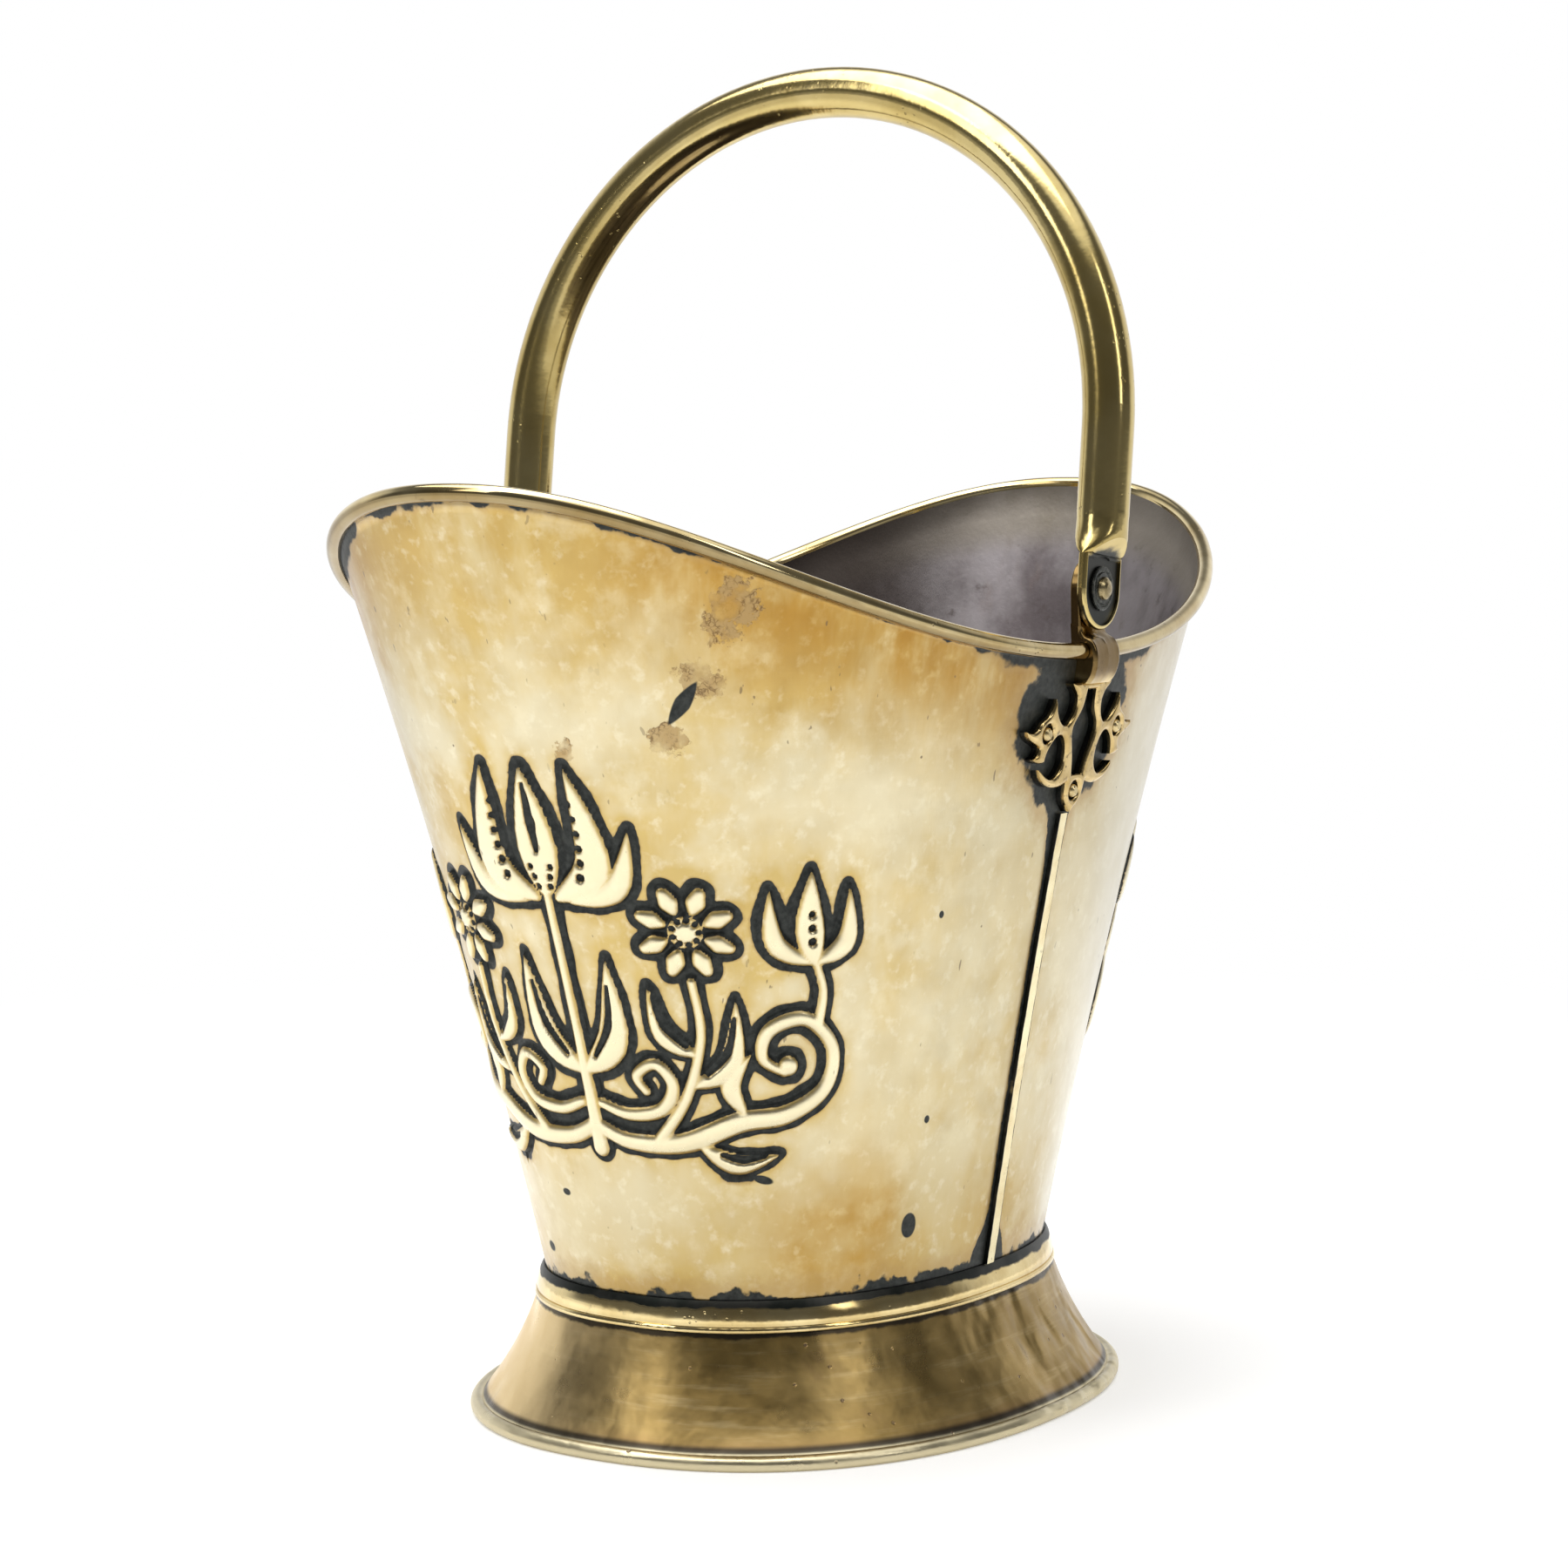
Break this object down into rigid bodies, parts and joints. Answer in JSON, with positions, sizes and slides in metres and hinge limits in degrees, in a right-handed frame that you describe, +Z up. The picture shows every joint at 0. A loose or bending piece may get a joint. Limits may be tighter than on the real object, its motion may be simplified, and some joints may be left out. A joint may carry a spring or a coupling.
{
  "type": "log bucket",
  "caption": "Oval flared brass log bucket with a saddle-shaped rolled rim, flared foot, riveted openwork lugs and a tubular swing handle.",
  "frame": {"origin": "on the floor under the middle of the foot", "axes": "+Z up; X along the long axis of the oval, -X to the front lip and +X to the back lip; -Y to the right-hand lug and +Y to the left-hand lug"},
  "size_m": [0.3906, 0.2468, 0.4482],
  "materials": {
    "panel_brass": "polished, pale, with patina",
    "foot_brass": "worn satin, darker",
    "moulding_brass": "polished",
    "cast_brass": "cast and polished on the faces",
    "tube_brass": "polished",
    "dark_brass": "blackened by patina",
    "rivet_brass": "hammered",
    "wire_steel": "plain wire",
    "pan_brass": "oxidised"
  },
  "bodies": {
    "bucket": {"front_panel": "panel_brass", "back_panel": "panel_brass", "rim_wire": "wire_steel", "base_pan": "pan_brass", "collar_band": "moulding_brass", "foot_skirt": "foot_brass", "foot_wire": "wire_steel", "right_seam_strip": "moulding_brass", "left_seam_strip": "moulding_brass", "right_lug": "cast_brass", "left_lug": "cast_brass", "right_lug_pins": "rivet_brass", "left_lug_pins": "rivet_brass", "right_pivot_rivet": "rivet_brass", "left_pivot_rivet": "rivet_brass", "right_pivot_washer": "dark_brass", "left_pivot_washer": "dark_brass", "right_inner_washer": "dark_brass", "left_inner_washer": "dark_brass"},
    "handle": {"handle_tube": "tube_brass"}
  },
  "joints": [
    {"name": "handle_swing", "type": "hinge", "parent": "bucket", "child": "handle", "pos_m": [0, 0, 0.274], "axis": [0, 1, 0], "range_deg": [-89.5, 75.5]}
  ]
}
